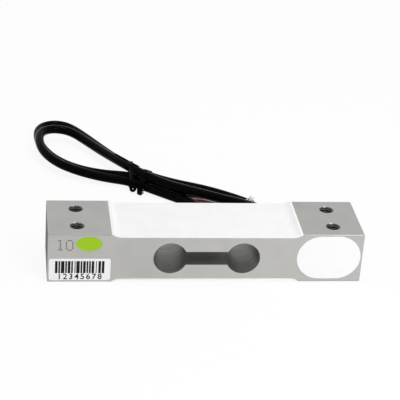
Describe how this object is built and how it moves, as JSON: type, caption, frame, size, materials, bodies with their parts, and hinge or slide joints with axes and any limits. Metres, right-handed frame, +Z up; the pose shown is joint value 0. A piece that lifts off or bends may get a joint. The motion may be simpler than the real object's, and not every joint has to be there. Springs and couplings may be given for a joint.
{
  "type": "single point load cell",
  "caption": "Single point load cell: a milled aluminium bar with through bores, silicone-sealed recesses, tapped mounting holes, labels and a tied signal cable with stripped cores",
  "frame": {"origin": "middle of the bar's underside", "axes": "+X along the bar from the base end to the load end, +Y to the face the cable leaves, +Z up"},
  "size_m": [0.1331, 0.1495, 0.022],
  "materials": {
    "aluminium": "satin",
    "silicone": "matt",
    "film": "satin",
    "ceramic": "satin",
    "copper": "satin",
    "tin": "satin",
    "jacket": "satin",
    "core_white": "satin",
    "core_red": "satin",
    "core_green": "satin",
    "core_black": "satin",
    "resin": "satin",
    "label": "matt",
    "green_foil": "satin",
    "tie_plastic": "satin"
  },
  "bodies": {
    "root": {"beam": "aluminium", "top_sealant": "silicone", "bottom_sealant": "silicone", "gauge_top_left": "film", "gauge_top_right": "film", "gauge_bottom_left": "film", "gauge_bottom_right": "film", "top_terminal_board": "film", "bottom_terminal_board": "film", "balance_resistors": "ceramic", "gauge_leads_top": "copper", "gauge_leads_bottom": "copper", "link_ribbon": "copper", "conductor_tails": "tin", "solder_joints_top": "tin", "solder_joints_bottom": "tin", "entry_seal": "silicone", "cable_root": "jacket", "inner_core_white": "core_white", "inner_core_red": "core_red", "inner_core_green": "core_green", "inner_core_black": "core_black", "core_potting": "resin", "barcode_label": "label", "approval_sticker": "green_foil", "blank_label": "label", "cable_jacket": "jacket", "core_white": "core_white", "core_red": "core_red", "core_green": "core_green", "core_black": "core_black", "core_tips": "tin", "shield_wire": "tin", "twist_tie": "tie_plastic"}
  },
  "joints": []
}
